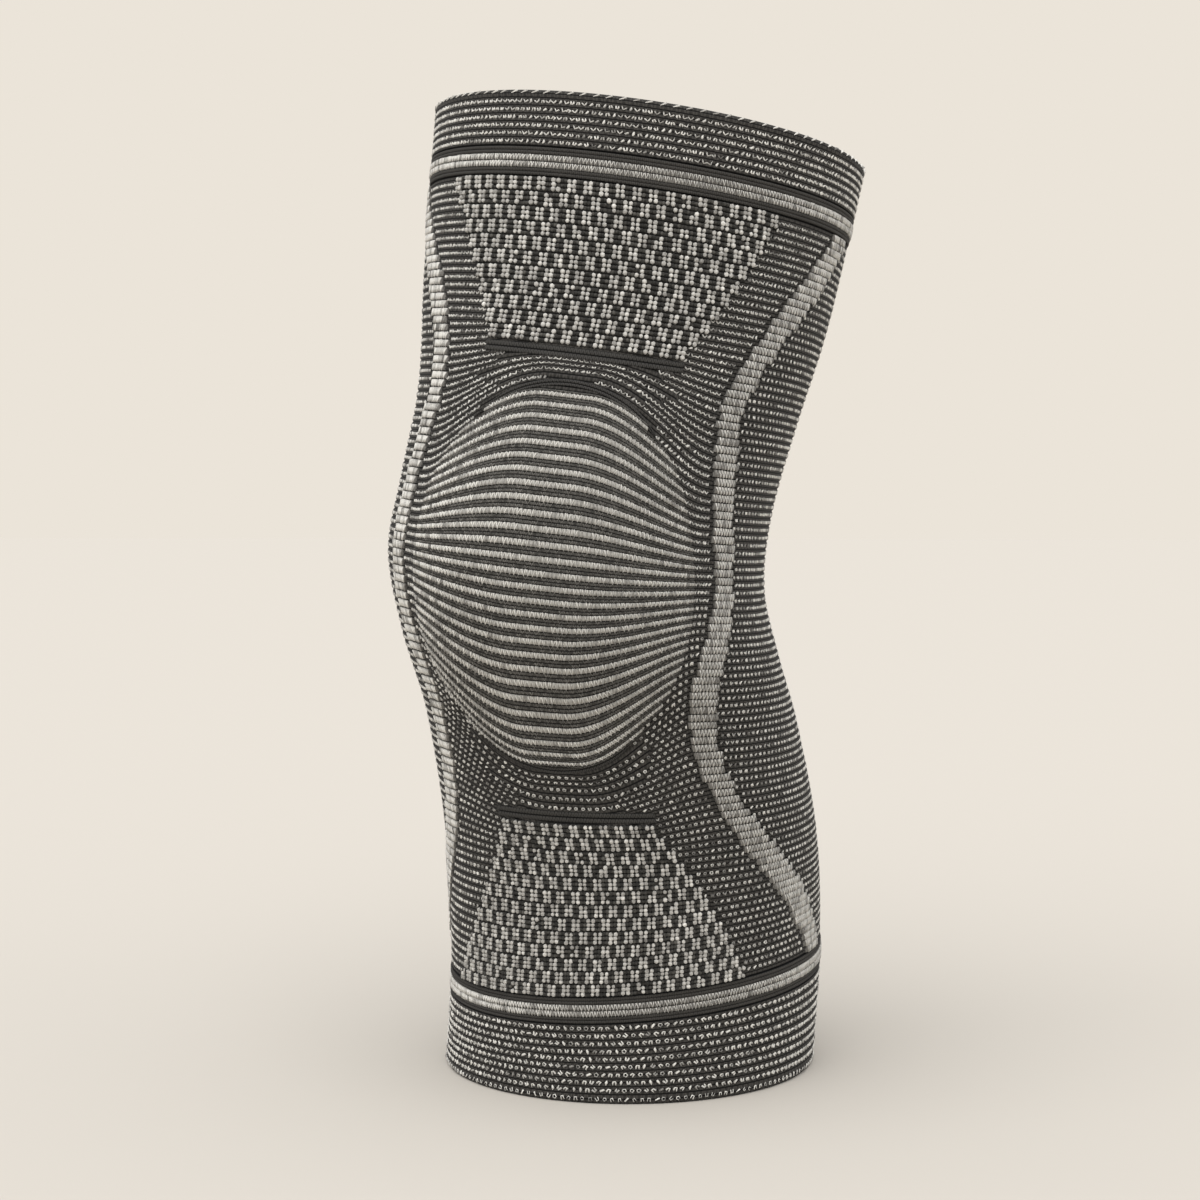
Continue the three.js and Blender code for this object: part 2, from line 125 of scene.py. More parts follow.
def sleevePoint(angle, at, out):  # metres, in the part's frame
    angle, at, out = np.broadcast_arrays(np.asarray(angle, float), np.asarray(at, float), np.asarray(out, float))
    section = sectionAt(at)
    around = np.radians(angle + section["turn"])
    lift = out + sleeve["domeRise"] * domeAt(angle, at)
    across = (section["width"] / 2 + lift) * np.sin(around)
    forward = (section["depth"] / 2 + lift) * np.cos(around)
    back, side = section["back"], section["side"]
    x = section["x"] + across * np.cos(side)
    y = section["y"] - forward * np.cos(back)
    z = sleeve["height"] * at + forward * np.sin(back) * np.cos(side) - across * np.sin(side)
    return np.stack([x, y, z], -1) / 1000 + originShift


def findOriginShift():  # the calf cuff's box gives the place of the whole sleeve
    s = sleeve
    corners = np.arange(s["cuffCorners"]) * 360 / s["cuffCorners"]
    rings = np.array(s["cuffRings"]) / s["height"]
    rim = sleevePoint(corners[:, None], rings[None], s["cuffLift"]).reshape(-1, 3)
    low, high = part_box("calf_cuff")
    middle = (np.array(low) + np.array(high)) / 2 - (rim.min(0) + rim.max(0)) / 2
    return np.array([middle[0], middle[1], 0])


originShift = findOriginShift()
print("origin shift in mm:", (originShift * 1000).round(2))


def smoothStep(x, low, high):
    t = np.clip((x - low) / (high - low), 0, 1)
    return t * t * (3 - 2 * t)


def courseAt(angle, course):  # height share of a course counted from the calf band
    s = sleeve
    step = (s["lastCourse"] - s["firstCourse"]) / s["courses"]
    side = (s["firstCourse"] + step * np.asarray(course, float)) / s["height"]
    fade = 1 - smoothStep(np.abs(angle), s["spreadFlat"], s["spreadReach"])
    return side + s["spread"] / s["height"] * smoothColumn(courseSpread, 1, side) * fade


def stripeEdge(at, edge):  # degrees from the front line to a stripe's inner or outer edge
    s = sleeve
    step = s["slopeStep"] / s["height"]
    middle = s["stripeReach"] * smoothColumn(stripeRoute, 1, at)
    rise = smoothColumn(stripeRoute, 1, at + step) - smoothColumn(stripeRoute, 1, at - step)
    slant = np.hypot(1, s["stripeReach"] * rise / angleOf(1, at) / s["slantRun"])
    return middle + edge * angleOf(s["stripeWidth"] / 2 * slant, at)


def courseGap(angle, course):  # mm from one course to the next
    return (courseAt(angle, course + 0.5) - courseAt(angle, course - 0.5)) * sleeve["height"]


def ovalShare(angle, at):  # below 1 inside the kneecap's oval
    s = sleeve
    across = angle / angleOf(s["kneecapWidth"] / 2, at)
    return np.hypot(across, (at * s["height"] - s["kneecapCentre"]) / (s["kneecapHeight"] / 2))


def setAttributes(mesh, domain, values):  # values: name to kind and numbers
    for name, (kind, numbers) in values.items():
        attribute = mesh.attributes.new(name, kind, domain)
        numbers = np.ascontiguousarray(numbers, {"INT": np.int32, "BOOLEAN": bool}.get(kind, np.float32))
        attribute.data.foreach_set("vector" if kind == "FLOAT_VECTOR" else "value", numbers.ravel())


def addPiece(name, data):
    piece = bpy.data.objects.new(name, data)
    bpy.context.collection.objects.link(piece)
    return piece


def unit(ways):
    return ways / np.linalg.norm(ways, axis=-1, keepdims=True)


# a closed wall of knit: fine outer rows for the cords, a plain lining, and the chart as its UV map
def knitWall(name, angle, at, relief, course, rows, lift, inner, mask=None, wrap=False):
    rowCount, columnCount = angle.shape[0] - 1, angle.shape[1] - 1
    cells = rowCount // rows
    mask = np.ones((cells, columnCount), bool) if mask is None else mask
    outer = np.arange((rowCount + 1) * (columnCount + 1)).reshape(rowCount + 1, columnCount + 1)
    inside = outer.size + np.arange((cells + 1) * (columnCount + 1)).reshape(cells + 1, columnCount + 1)
    innerOut = np.broadcast_to(inner, angle.shape)[::rows]
    points = sleevePoint(angle, at, lift)
    outward = sleevePoint(angle, at, lift + 1) - points
    places = np.concatenate([points.reshape(-1, 3), sleevePoint(angle[::rows], at[::rows], innerOut).reshape(-1, 3)])
    outward = np.concatenate([outward.reshape(-1, 3), np.zeros((inside.size, 3))])
    depth = np.concatenate([np.broadcast_to(relief, angle.shape).ravel(), np.zeros(inside.size)])
    chart = np.stack([angle / 360 * sleeve["wales"], np.broadcast_to(course, angle.shape)], -1)
    uv = np.concatenate([chart.reshape(-1, 2), chart[::rows].reshape(-1, 2)])

    faces, sharp, lined = [], [], []

    def add(found, isSharp, isLined):
        faces.extend(found)
        sharp.extend([isSharp] * len(found))
        lined.extend([isLined] * len(found))

    fine = np.repeat(mask, rows, 0)
    a, b = outer[:-1, :-1][fine], outer[:-1, 1:][fine]
    c, d = outer[1:, 1:][fine], outer[1:, :-1][fine]
    add(np.stack([a, b, c, d], -1).tolist(), False, False)
    a, b = inside[:-1, :-1][mask], inside[:-1, 1:][mask]
    c, d = inside[1:, 1:][mask], inside[1:, :-1][mask]
    add(np.stack([a, d, c, b], -1).tolist(), False, True)
    sideWays = np.roll(mask, 1, 1) if wrap else np.pad(mask, ((0, 0), (1, 0)))[:, :-1]
    otherWays = np.roll(mask, -1, 1) if wrap else np.pad(mask, ((0, 0), (0, 1)))[:, 1:]
    for i, j in np.argwhere(mask & ~sideWays):
        edge = outer[i * rows:(i + 1) * rows + 1, j].tolist()
        add([edge + [inside[i + 1, j], inside[i, j]]], True, False)
    for i, j in np.argwhere(mask & ~otherWays):
        edge = outer[i * rows:(i + 1) * rows + 1, j + 1].tolist()
        add([edge[::-1] + [inside[i, j + 1], inside[i + 1, j + 1]]], True, False)
    below, above = np.pad(mask, ((1, 0), (0, 0)))[:-1], np.pad(mask, ((0, 1), (0, 0)))[1:]
    for i, j in np.argwhere(mask & ~below):
        add([[outer[i * rows, j + 1], outer[i * rows, j], inside[i, j], inside[i, j + 1]]], True, False)
    for i, j in np.argwhere(mask & ~above):
        k = (i + 1) * rows
        add([[outer[k, j], outer[k, j + 1], inside[i + 1, j + 1], inside[i + 1, j]]], True, False)

    corners = np.concatenate([np.asarray(face, int) for face in faces])
    sizes = np.array([len(face) for face in faces])
    real = np.arange(len(places))
    if wrap:
        real[outer[:, -1]] = outer[:, 0]
        real[inside[:, -1]] = inside[:, 0]
    used, index = np.unique(real[corners], return_inverse=True)
    mesh = bpy.data.meshes.new(name)
    mesh.vertices.add(len(used))
    mesh.vertices.foreach_set("co", places[used].ravel())
    mesh.loops.add(len(corners))
    mesh.loops.foreach_set("vertex_index", index.ravel().astype(np.int32))
    mesh.polygons.add(len(sizes))
    mesh.polygons.foreach_set("loop_start", (np.cumsum(sizes) - sizes).astype(np.int32))
    mesh.update(calc_edges=True)
    mesh.polygons.foreach_set("use_smooth", ~np.array(sharp))
    layer = mesh.uv_layers.new(name="knit")
    layer.data.foreach_set("uv", uv[corners].astype(np.float32).ravel())
    setAttributes(mesh, "POINT", {"outward": ("FLOAT_VECTOR", outward[used]), "relief": ("FLOAT", depth[used])})
    setAttributes(mesh, "FACE", {"lined": ("BOOLEAN", lined)})
    mesh.validate()
    return addPiece(name, mesh)


def courseRows(first, last, profile):  # profile: share of a course, mm out
    share = np.array([row[0] for row in profile])
    depth = np.array([row[1] for row in profile])
    course = (np.arange(first, last)[:, None] + share[None]).ravel()
    return np.append(course, last), np.append(np.tile(depth, round(last - first)), depth[0])


# one point for each stitch, with its facing, size, kind, tone and turn
def lacedPoints(name, place, angle, course, out, size, kind, tone, spin=0.0):
    angle, course = np.asarray(angle, float), np.asarray(course, float)
    here = sleevePoint(angle, place(angle, course), out)
    along = sleevePoint(angle + 0.5, place(angle + 0.5, course), out) - here
    upward = sleevePoint(angle, place(angle, course + 0.2), out) - here
    mesh = bpy.data.meshes.new(name)
    mesh.from_pydata(here.tolist(), [], [])
    setAttributes(mesh, "POINT", {
        "normalWay": ("FLOAT_VECTOR", unit(np.cross(along, upward))), "alongWay": ("FLOAT_VECTOR", unit(along)),
        "stitchSize": ("FLOAT_VECTOR", np.broadcast_to(size, here.shape) / 1000),
        "kind": ("INT", np.broadcast_to(kind, angle.shape)), "tone": ("FLOAT", np.broadcast_to(tone, angle.shape)),
        "spin": ("FLOAT", np.broadcast_to(spin, angle.shape))})
    return addPiece(name, mesh)


def smoothMesh(name, points, faces):
    mesh = bpy.data.meshes.new(name)
    mesh.from_pydata(points, [], faces)
    mesh.polygons.foreach_set("use_smooth", [True] * len(faces))
    return mesh


# a bent length of yarn with a triangular section, in shares of a stitch
def yarnShape(name, path, thick, heights, closed=False):
    path = np.array(path, float)
    count = len(path)
    ahead = np.roll(path, -1, 0) - path
    behind = path - np.roll(path, 1, 0)
    if not closed:
        ahead[-1], behind[0] = behind[-1], ahead[0]
    way = unit(unit(ahead) + unit(behind))
    side = np.stack([-way[:, 1], way[:, 0]], -1)
    thick = np.broadcast_to(thick, count)
    heights = np.broadcast_to(heights, count)
    points, faces = [], []
    for i in range(count):
        left, right = path[i] + side[i] * thick[i], path[i] - side[i] * thick[i]
        points += [(*left, -0.3), (*right, -0.3), (*path[i], heights[i])]
    for i in range(count if closed else count - 1):
        a, b = 3 * i, 3 * ((i + 1) % count)
        for j in range(3):
            k = (j + 1) % 3
            faces.append((b + j, b + k, a + k, a + j))
    if not closed:
        last = 3 * (count - 1)
        faces += [(0, 1, 2), (last + 2, last + 1, last)]
    return smoothMesh(name, points, faces)


def beadShape(name, sides, inner, middle):  # middle: height of its centre
    ring = [(math.cos(2 * math.pi * i / sides), math.sin(2 * math.pi * i / sides)) for i in range(sides)]
    points = [(0.5 * x, 0.5 * y, -0.3) for x, y in ring]
    points += [(0.5 * inner * x, 0.5 * inner * y, 0.85) for x, y in ring] + [(0, 0, middle)]
    faces = [(i, (i + 1) % sides, sides + (i + 1) % sides, sides + i) for i in range(sides)]
    faces += [(sides + i, sides + (i + 1) % sides, 2 * sides) for i in range(sides)]
    faces.append(tuple(reversed(range(sides))))
    return smoothMesh(name, points, faces)


def stitchSet(name, shapes):  # a collection whose stitches are picked by number
    bag = bpy.data.collections.new(name)
    for number, shape in enumerate(shapes):
        bag.objects.link(bpy.data.objects.new(f"{name}{number}", shape))
    return bag


def addNode(tree, kind, settings=None, inputs=None):  # a node stands for its first output in use
    node = tree.nodes.new(kind)
    for key, value in (settings or {}).items():
        setattr(node, key, value)
    for key, value in (inputs or {}).items():
        source = next(s for s in value.outputs if s.enabled) if isinstance(value, bpy.types.Node) else value
        if isinstance(source, bpy.types.NodeSocket):
            tree.links.new(source, node.inputs[key])
        else:
            node.inputs[key].default_value = source
    return node


def newTree(name, sockets):
    tree = bpy.data.node_groups.new(name, "GeometryNodeTree")
    tree.interface.new_socket("Geometry", in_out="INPUT", socket_type="NodeSocketGeometry")
    for label, kind, value in sockets:
        socket = tree.interface.new_socket(label, in_out="INPUT", socket_type=kind)
        if value is not None:
            socket.default_value = value
    tree.interface.new_socket("Geometry", in_out="OUTPUT", socket_type="NodeSocketGeometry")
    return tree


def pressTree():  # presses the cords and grooves of the knit into a smooth wall
    tree = newTree("pressedCords", [
        ("Depth", "NodeSocketFloat", 1.0), ("Face", "NodeSocketMaterial", None), ("Lining", "NodeSocketMaterial", None),
    ])
    start = addNode(tree, "NodeGroupInput")
    read = {}
    for name, kind in (("relief", "FLOAT"), ("outward", "FLOAT_VECTOR"), ("lined", "BOOLEAN")):
        read[name] = addNode(tree, "GeometryNodeInputNamedAttribute", {"data_type": kind}, {"Name": name})
    share = addNode(tree, "ShaderNodeMath", {"operation": "MULTIPLY"}, {0: read["relief"], 1: start.outputs["Depth"]})
    move = addNode(tree, "ShaderNodeVectorMath", {"operation": "SCALE"}, {0: read["outward"], "Scale": share})
    pressed = addNode(tree, "GeometryNodeSetPosition", None, {"Geometry": start.outputs["Geometry"], "Offset": move})
    real = addNode(tree, "GeometryNodeRealizeInstances", None, {"Geometry": pressed})
    face = addNode(tree, "GeometryNodeSetMaterial", None, {"Geometry": real, "Material": start.outputs["Face"]})
    lining = addNode(tree, "GeometryNodeSetMaterial", None, {
        "Geometry": face, "Selection": read["lined"], "Material": start.outputs["Lining"]})
    addNode(tree, "NodeGroupOutput", None, {0: lining})
    return tree


def stitchTree():  # lays one stitch of a set on every point
    tree = newTree("laidStitches", [
        ("Stitches", "NodeSocketCollection", None), ("Yarn", "NodeSocketMaterial", None),
        ("Size", "NodeSocketFloat", 1.0), ("Uneven", "NodeSocketFloat", 0.1), ("Turn", "NodeSocketFloat", 0.1),
        ("Seed", "NodeSocketInt", 1),
    ])
    start = addNode(tree, "NodeGroupInput")
    read = {}
    for name, kind in (("normalWay", "FLOAT_VECTOR"), ("alongWay", "FLOAT_VECTOR"), ("stitchSize", "FLOAT_VECTOR"),
            ("kind", "INT"), ("spin", "FLOAT")):
        read[name] = addNode(tree, "GeometryNodeInputNamedAttribute", {"data_type": kind}, {"Name": name})
    bag = addNode(tree, "GeometryNodeCollectionInfo", None, {
        "Collection": start.outputs["Stitches"], "Separate Children": True, "Reset Children": True})
    facing = addNode(tree, "FunctionNodeAxesToRotation", {"primary_axis": "Z", "secondary_axis": "X"}, {
        0: read["normalWay"], 1: read["alongWay"]})
    less = addNode(tree, "ShaderNodeMath", {"operation": "MULTIPLY"}, {0: start.outputs["Turn"], 1: -1.0})
    turn = addNode(tree, "FunctionNodeRandomValue", {"data_type": "FLOAT"}, {
        2: less, 3: start.outputs["Turn"], "Seed": start.outputs["Seed"]})
    spin = addNode(tree, "ShaderNodeMath", {"operation": "ADD"}, {0: turn, 1: read["spin"]})
    twist = addNode(tree, "FunctionNodeAxisAngleToRotation", None, {"Axis": (0, 0, 1), "Angle": spin})
    laid = addNode(tree, "FunctionNodeRotateRotation", {"rotation_space": "LOCAL"}, {0: facing, 1: twist})
    low = addNode(tree, "ShaderNodeMath", {"operation": "SUBTRACT"}, {0: 1.0, 1: start.outputs["Uneven"]})
    high = addNode(tree, "ShaderNodeMath", {"operation": "ADD"}, {0: 1.0, 1: start.outputs["Uneven"]})
    other = addNode(tree, "ShaderNodeMath", {"operation": "ADD"}, {0: start.outputs["Seed"], 1: 7.0})
    uneven = addNode(tree, "FunctionNodeRandomValue", {"data_type": "FLOAT"}, {2: low, 3: high, "Seed": other})
    scale = addNode(tree, "ShaderNodeMath", {"operation": "MULTIPLY"}, {0: uneven, 1: start.outputs["Size"]})
    size = addNode(tree, "ShaderNodeVectorMath", {"operation": "SCALE"}, {0: read["stitchSize"], "Scale": scale})
    placed = addNode(tree, "GeometryNodeInstanceOnPoints", None, {
        "Points": start.outputs["Geometry"], "Instance": bag, "Pick Instance": True,
        "Instance Index": read["kind"], "Rotation": laid, "Scale": size})
    real = addNode(tree, "GeometryNodeRealizeInstances", None, {"Geometry": placed})
    done = addNode(tree, "GeometryNodeSetMaterial", None, {"Geometry": real, "Material": start.outputs["Yarn"]})
    addNode(tree, "NodeGroupOutput", None, {0: done})
    return tree


pressedCords, laidStitches = pressTree(), stitchTree()


def applyNodes(piece, tree, values):  # runs a tree on a piece and keeps the plain mesh
    modifier = piece.modifiers.new(tree.name, "NODES")
    modifier.node_group = tree
    for socket in tree.interface.items_tree:
        if socket.in_out == "INPUT" and socket.name in values:
            modifier[socket.identifier] = values[socket.name]
    graph = bpy.context.evaluated_depsgraph_get()
    made = bpy.data.meshes.new_from_object(piece.evaluated_get(graph), preserve_all_data_layers=True, depsgraph=graph)
    piece.modifiers.clear()
    piece.data = made
    for name in ("outward", "relief", "lined", "normalWay", "alongWay", "stitchSize", "kind", "spin"):
        if name in made.attributes:
            made.attributes.remove(made.attributes[name])


def linear(hexColour):  # sRGB hex to linear
    parts = [int(hexColour[i:i + 2], 16) / 255 for i in (1, 3, 5)]
    return (*[c / 12.92 if c <= 0.04045 else ((c + 0.055) / 1.055) ** 2.4 for c in parts], 1)


def emptyMaterial(name):
    material = bpy.data.materials.new(name)
    material.use_nodes = True
    material.node_tree.nodes.clear()
    return material, material.node_tree


def addSurface(tree, colour, height, depth, sheen):  # every yarn here is matt, with a faint sheen
    bump = addNode(tree, "ShaderNodeBump", None, {"Height": height, "Distance": depth / 1000})
    shader = addNode(tree, "ShaderNodeBsdfPrincipled", None, {
        "Base Color": colour, "Roughness": 0.9, "Normal": bump, "Specular IOR Level": 0.15,
        "Sheen Weight": sheen, "Sheen Roughness": 0.5})
    addNode(tree, "ShaderNodeOutputMaterial", None, {0: shader})


# Elastic knit: textured polyamide wound round elastane cord, knitted in close rows. Matt charcoal cords
# with near-black painted shade in the creases between them and a painted highlight on every V stroke; where a course is
# pale, it shows fine upright V strokes.
def knitMaterial(name, look):
    material, tree = emptyMaterial(name)
    uv = addNode(tree, "ShaderNodeUVMap", {"uv_map": "knit"})
    split = addNode(tree, "ShaderNodeSeparateXYZ", None, {0: uv})
    place = addNode(tree, "ShaderNodeTexCoord").outputs["Object"]
    made = {"across": split.outputs[0], "course": split.outputs[1]}
    for label, scale in (("cloud", 110.0), ("grain", look["grain"])):
        made[label] = addNode(tree, "ShaderNodeTexNoise", None, {"Vector": place, "Scale": scale, "Detail": 2.0})
    steps = [  # name, what it does, then values or the names of earlier steps
        ("drift", "SUBTRACT", "cloud", 0.5), ("bend", "MULTIPLY", "drift", look["waver"]),
        ("wale", "ADD", "across", "bend"),
        ("counted", "ADD", "course", 100.5), ("share", "FRACT", "counted"),  # 0.5 on a course's own line
        ("upward", "SUBTRACT", "share", 0.5), ("off", "ABSOLUTE", "upward"), ("gap", "ADD", "off", 9.0),
    ]
    for crease in look["creases"]:
        steps += [("past", "SUBTRACT", "off", crease), ("near", "ABSOLUTE", "past"), ("gap", "MINIMUM", "gap", "near")]
    steps += [
        ("opened", "smooth", "gap", look["creaseWidth"] * 0.2, look["creaseWidth"]),
        ("laps", "MULTIPLY", "wale", look["strokes"]), ("lapped", "ADD", "laps", 400.0), ("lap", "FRACT", "lapped"),
        ("swing", "SUBTRACT", "lap", 0.5), ("leg", "ABSOLUTE", "swing"),
        ("tilt", "MULTIPLY", "upward", look["slant"]), ("lean", "ADD", 0.25, "tilt"),
        ("beside", "SUBTRACT", "leg", "lean"), ("away", "ABSOLUTE", "beside"), ("stroke", "smooth", "away", 0.2, 0.05),
        ("clouded", "MULTIPLY", "cloud", 0.4), ("grained", "MULTIPLY", "grain", 0.6),
        ("mottle", "ADD", "clouded", "grained"), ("shade", "smooth", "mottle", 0.36, 0.64),
        ("darkYarn", "mix", "shade", linear(look["dark"]), linear(look["darkPale"])),
        # painted highlight: the V strokes of the dark yarn are lightened as if lit along their crests
        ("darkLit", "MULTIPLY", "stroke", look["darkHighlightAmount"]),
        ("top", "mix", "darkLit", "darkYarn", linear(look["darkHighlightColour"])),
    ]
    if look["pale"]:
        steps += [
            ("paleYarn", "mix", "shade", linear(look["light"]), linear(look["lightPale"])),
            # the same painted highlight along the V strokes of the pale courses
            ("paleLit", "MULTIPLY", "stroke", look["lightHighlightAmount"]),
            ("paleHighlighted", "mix", "paleLit", "paleYarn", linear(look["lightHighlightColour"])),
            ("within", "LESS_THAN", "off", look["pale"]),
        ]
        if look["paleRows"]:
            first, last = look["paleRows"]
            steps += [("over", "GREATER_THAN", "course", first), ("under", "LESS_THAN", "course", last),
                ("within", "MULTIPLY", "over", "under")]
        steps.append(("top", "mix", "within", "top", "paleHighlighted"))
    steps += [
        # painted shade: the crease colour darkens the creases between the cords
        ("colour", "mix", "opened", linear(look["crease"]), "top"),
        ("creased", "MULTIPLY", "opened", 0.45), ("stroked", "MULTIPLY", "stroke", 0.35),
        ("roughened", "MULTIPLY", "grain", 0.2), ("fuzz", "ADD", "stroked", "roughened"),
        ("height", "ADD", "creased", "fuzz"),
    ]
    kinds = {
        "smooth": ("ShaderNodeMapRange", {"interpolation_type": "SMOOTHSTEP"}, (0, 1, 2)),
        "mix": ("ShaderNodeMix", {"data_type": "RGBA"}, (0, 6, 7)),
    }
    for label, step, *values in steps:
        kind, settings, sockets = kinds.get(step, ("ShaderNodeMath", {"operation": step}, (0, 1)))
        made[label] = addNode(tree, kind, settings, {k: made.get(v, v) for k, v in zip(sockets, values)})
    addSurface(tree, made["colour"], made["height"], look["depth"], 0.03)
    return material


# Textured polyamide yarn: crimped filaments that stand up in loops, matt and a little fluffy, pale on
# top and soft grey at the roots.
def yarnMaterial(name, look):
    material, tree = emptyMaterial(name)
    tone = addNode(tree, "ShaderNodeAttribute", {"attribute_name": "tone"}).outputs["Fac"]
    place = addNode(tree, "ShaderNodeTexCoord").outputs["Object"]
    grain = addNode(tree, "ShaderNodeTexNoise", None, {"Vector": place, "Scale": 2400.0, "Detail": 2.0})
    shade = addNode(tree, "ShaderNodeMath", {"operation": "MULTIPLY_ADD"}, {0: grain, 1: 0.9, 2: -0.45})
    shade = addNode(tree, "ShaderNodeMath", {"operation": "ADD", "use_clamp": True}, {0: shade, 1: tone})
    colour = addNode(tree, "ShaderNodeMix", {"data_type": "RGBA"}, {
        0: shade, 6: linear(look["deep"]), 7: linear(look["pale"])})
    addSurface(tree, colour, grain, look["depth"], 0.05)
    return material


# the V strokes' lighter colours and their amounts are a painted highlight on the strand crests
knitLook = {
    # the crease colour is near-black painted shade for the creases between the cords
    "dark": "#2a2927", "darkPale": "#383633", "darkHighlightColour": "#55524e", "darkHighlightAmount": 0.45, "crease": "#0d0c0c",
    "light": "#5c5a56", "lightPale": "#76736e", "lightHighlightColour": "#9a9690", "lightHighlightAmount": 0.6,
    "pale": 0, "paleRows": None, "creases": [0.0, 0.5], "creaseWidth": 0.12,  # shares of a course from its line
    "strokes": 1.0, "slant": 0.25, "waver": 0.5, "grain": 1500.0, "depth": 0.25,
}
meshFace = knitMaterial("openElasticKnit", knitLook)
ribFace = knitMaterial("ribbedElasticKnit", knitLook | {
    "creases": [0.235, 0.5], "creaseWidth": 0.055, "pale": 0.225,
    "dark": "#3f3e3b", "darkPale": "#53514d", "darkHighlightColour": "#6f6c68",
    "light": "#7d7a75", "lightPale": "#98958f", "lightHighlightColour": "#bcb9b2"})
blockFace = knitMaterial("paleBlockKnit", knitLook | {
    "creases": [0.5], "creaseWidth": 0.11, "pale": 0.6, "strokes": 2.0, "slant": 0.12,
    "light": "#5c5a56", "lightPale": "#726f6b", "lightHighlightColour": "#918e88"})
bandFace = knitMaterial("bandedElasticKnit", knitLook | {
    "creases": [0.5], "creaseWidth": 0.09, "pale": 1, "paleRows": (1.5, 3.5), "strokes": 2.0, "slant": 0.2,
    "light": "#504e4b", "lightPale": "#66635f", "lightHighlightColour": "#8f8c86"})
beadedFace = knitMaterial("beadedElasticKnit", knitLook | {"creases": [0.5], "creaseWidth": 0.16, "darkHighlightAmount": 0.25})
cordFace = knitMaterial("cordedElasticKnit", knitLook | {
    "creases": [0.5], "creaseWidth": 0.2, "strokes": 2.0, "darkHighlightAmount": 0.7,
    "dark": "#232221", "darkPale": "#31302d", "darkHighlightColour": "#504e4b"})
liningFace = knitMaterial("plushKnitLining", knitLook | {
    "creases": [0.5], "creaseWidth": 0.16, "dark": "#353431", "darkPale": "#45433f", "darkHighlightColour": "#6b6863", "depth": 0.4})
paleYarn = yarnMaterial("texturedPaleYarn", {"deep": "#6f6c68", "pale": "#e8e5de", "depth": 0.1})
midYarn = yarnMaterial("texturedMidYarn", {"deep": "#3f3e3b", "pale": "#84817b", "depth": 0.1})
greyYarn = yarnMaterial("texturedGreyYarn", {"deep": "#2c2b29", "pale": "#76736d", "depth": 0.1})
print("materials made")

loopSet = stitchSet("loopStitch", [  # seen from outside: x along the course, y up, z out
    yarnShape("vee", [(-0.44, 0.34), (0, -0.34), (0.44, 0.34)], [0.18, 0.24, 0.18], [0.75, 1, 0.75]),
    yarnShape("cup", [(-0.25, 0.4), (-0.18, -0.24), (0.18, -0.24), (0.25, 0.4)], 0.24, [0.7, 1, 1, 0.7]),
    yarnShape("arch", [(-0.25, -0.4), (-0.18, 0.24), (0.18, 0.24), (0.25, -0.4)], 0.24, [0.7, 1, 1, 0.7]),
    yarnShape("eye", [(-0.3, 0.02), (-0.12, -0.33), (0.26, -0.21), (0.26, 0.23), (-0.12, 0.35)], 0.16, 1, True),
    yarnShape("slant", [(-0.18, -0.4), (0.18, 0.4)], 0.3, [0.8, 1]),
])
strandSet = stitchSet("strandStitch", [
    yarnShape("chevron", [(-0.42, 0.5), (0, -0.5), (0.42, 0.5)], [0.17, 0.19, 0.17], [0.85, 1, 0.85]),
    yarnShape("dash", [(-0.46, -0.3), (0.46, 0.3)], 0.22, [0.8, 1]),
])
beadSet = stitchSet("beadStitch", [beadShape("bead", 6, 0.84, 1), beadShape("dimpledBead", 6, 0.8, 0.35)])
print("stitch shapes made")

random = np.random.default_rng(11)
pieces = {}


def flatSize(angle, at, mask, rows):  # mean course, height up the middle and area of what is knitted, in metres
    points = sleevePoint(angle, at, 0)
    wide = np.linalg.norm(np.diff(points, axis=1), axis=2)
    high = np.linalg.norm(np.diff(points[:, points.shape[1] // 2], axis=0), axis=1)
    steps = wide[:-1] * high[:, None]
    knitted = steps.sum() if mask is None else steps[np.repeat(mask, rows, 0)].sum()
    return wide.sum(1).mean(), high.sum(), knitted


def makeWall(node, dims, angle, at, relief, course, face, mask=None, wrap=False):
    at = np.broadcast_to(at, angle.shape)
    piece = knitWall(node + "_wall", angle, at, relief, course, dims["rows"], dims["lift"], -dims["wall"], mask, wrap)
    applyNodes(piece, pressedCords, {"Depth": 1.0, "Face": face, "Lining": liningFace})
    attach(piece, "root")
    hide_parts(node)
    pieces[node] = {"wall": piece, "with": [], "size": flatSize(angle, at, mask, dims["rows"])}
    print(node, sum(len(p.vertices) - 2 for p in piece.data.polygons), "triangles, flat", np.round(pieces[node]["size"], 4))


def layStitches(node, name, place, angle, course, dims, shapes, yarn, kind=0, tone=None, size=None,
        spin=0.0, seed=1):
    tone = np.clip(random.normal(dims["tone"], 0.3, len(angle)), 0.05, 1) if tone is None else tone
    size = dims["stitch"] if size is None else size
    points = lacedPoints(name, place, angle, course, dims["out"], size, kind, tone, spin)
    applyNodes(points, laidStitches, {"Stitches": shapes, "Yarn": yarn, "Size": 1.0, "Uneven": dims.get("uneven", 0.1),
        "Turn": dims["turn"], "Seed": seed})
    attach(points, "root")
    pieces[node]["with"].append(points)
    print(name, len(angle), "stitches,", sum(len(p.vertices) - 2 for p in points.data.polygons), "triangles")


